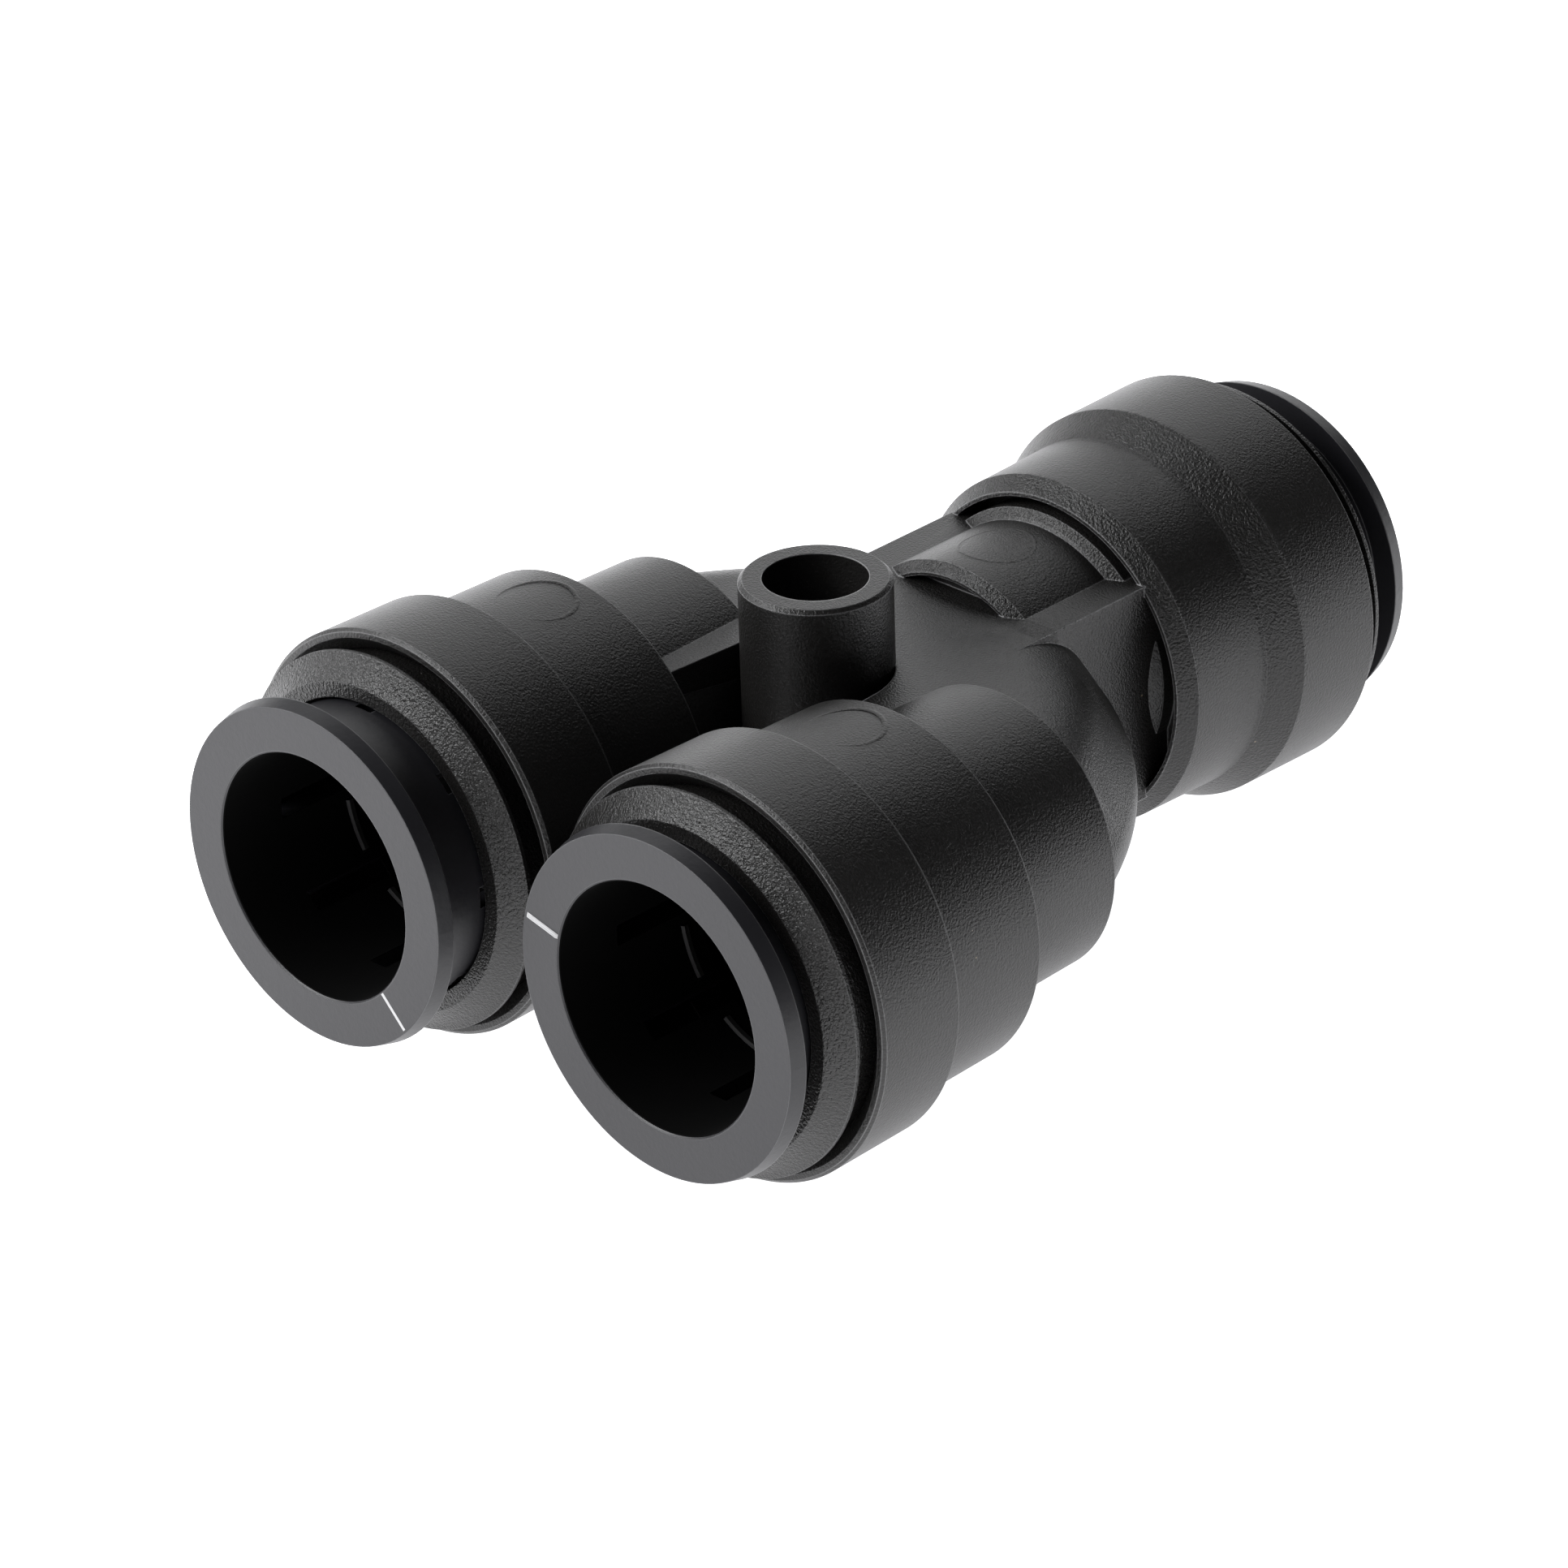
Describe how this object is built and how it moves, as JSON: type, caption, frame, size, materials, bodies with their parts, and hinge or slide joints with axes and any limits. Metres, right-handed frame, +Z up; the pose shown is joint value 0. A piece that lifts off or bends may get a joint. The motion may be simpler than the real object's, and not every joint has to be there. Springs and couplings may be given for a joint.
{
  "type": "tubing y connector",
  "caption": "Push-in Y divider in black plastic: parallel legs join into a stem, each mouth has a sliding release collet, and a hollow boss between the legs takes a fixing screw.",
  "frame": {"origin": "on the fixing hole's axis, at the seating face under the boss", "axes": "+Z up along the fixing hole, +Y towards the stem's mouth, so the legs' mouths face -Y; +X towards the right leg, which is nearer in the picture"},
  "size_m": [0.0506, 0.0688, 0.025],
  "materials": {
    "body_plastic": "fine spark-eroded satin",
    "cap_plastic": "coarser spark-eroded satin on the nose",
    "collet_plastic": "smooth satin",
    "tooth_steel": "plain stainless strip",
    "spacer_plastic": "smooth",
    "seal_rubber": "smooth moulded rubber"
  },
  "bodies": {
    "housing": {"body": "body_plastic", "right_cap": "cap_plastic", "right_spacer": "spacer_plastic", "right_seal": "seal_rubber", "left_cap": "cap_plastic", "left_spacer": "spacer_plastic", "left_seal": "seal_rubber", "stem_cap": "cap_plastic", "stem_spacer": "spacer_plastic", "stem_seal": "seal_rubber"},
    "right_release": {"right_collet": "collet_plastic", "right_teeth": "tooth_steel"},
    "left_release": {"left_collet": "collet_plastic", "left_teeth": "tooth_steel"},
    "stem_release": {"stem_collet": "collet_plastic", "stem_teeth": "tooth_steel"}
  },
  "joints": [
    {"name": "right_collet_slide", "type": "slide", "parent": "housing", "child": "right_release", "axis": [0, 1, 0], "range_m": [-0.002, 0.0017]},
    {"name": "left_collet_slide", "type": "slide", "parent": "housing", "child": "left_release", "axis": [0, 1, 0], "range_m": [0, 0.0037]},
    {"name": "stem_collet_slide", "type": "slide", "parent": "housing", "child": "stem_release", "axis": [0, -1, 0], "range_m": [-0.002, 0.0017]}
  ]
}
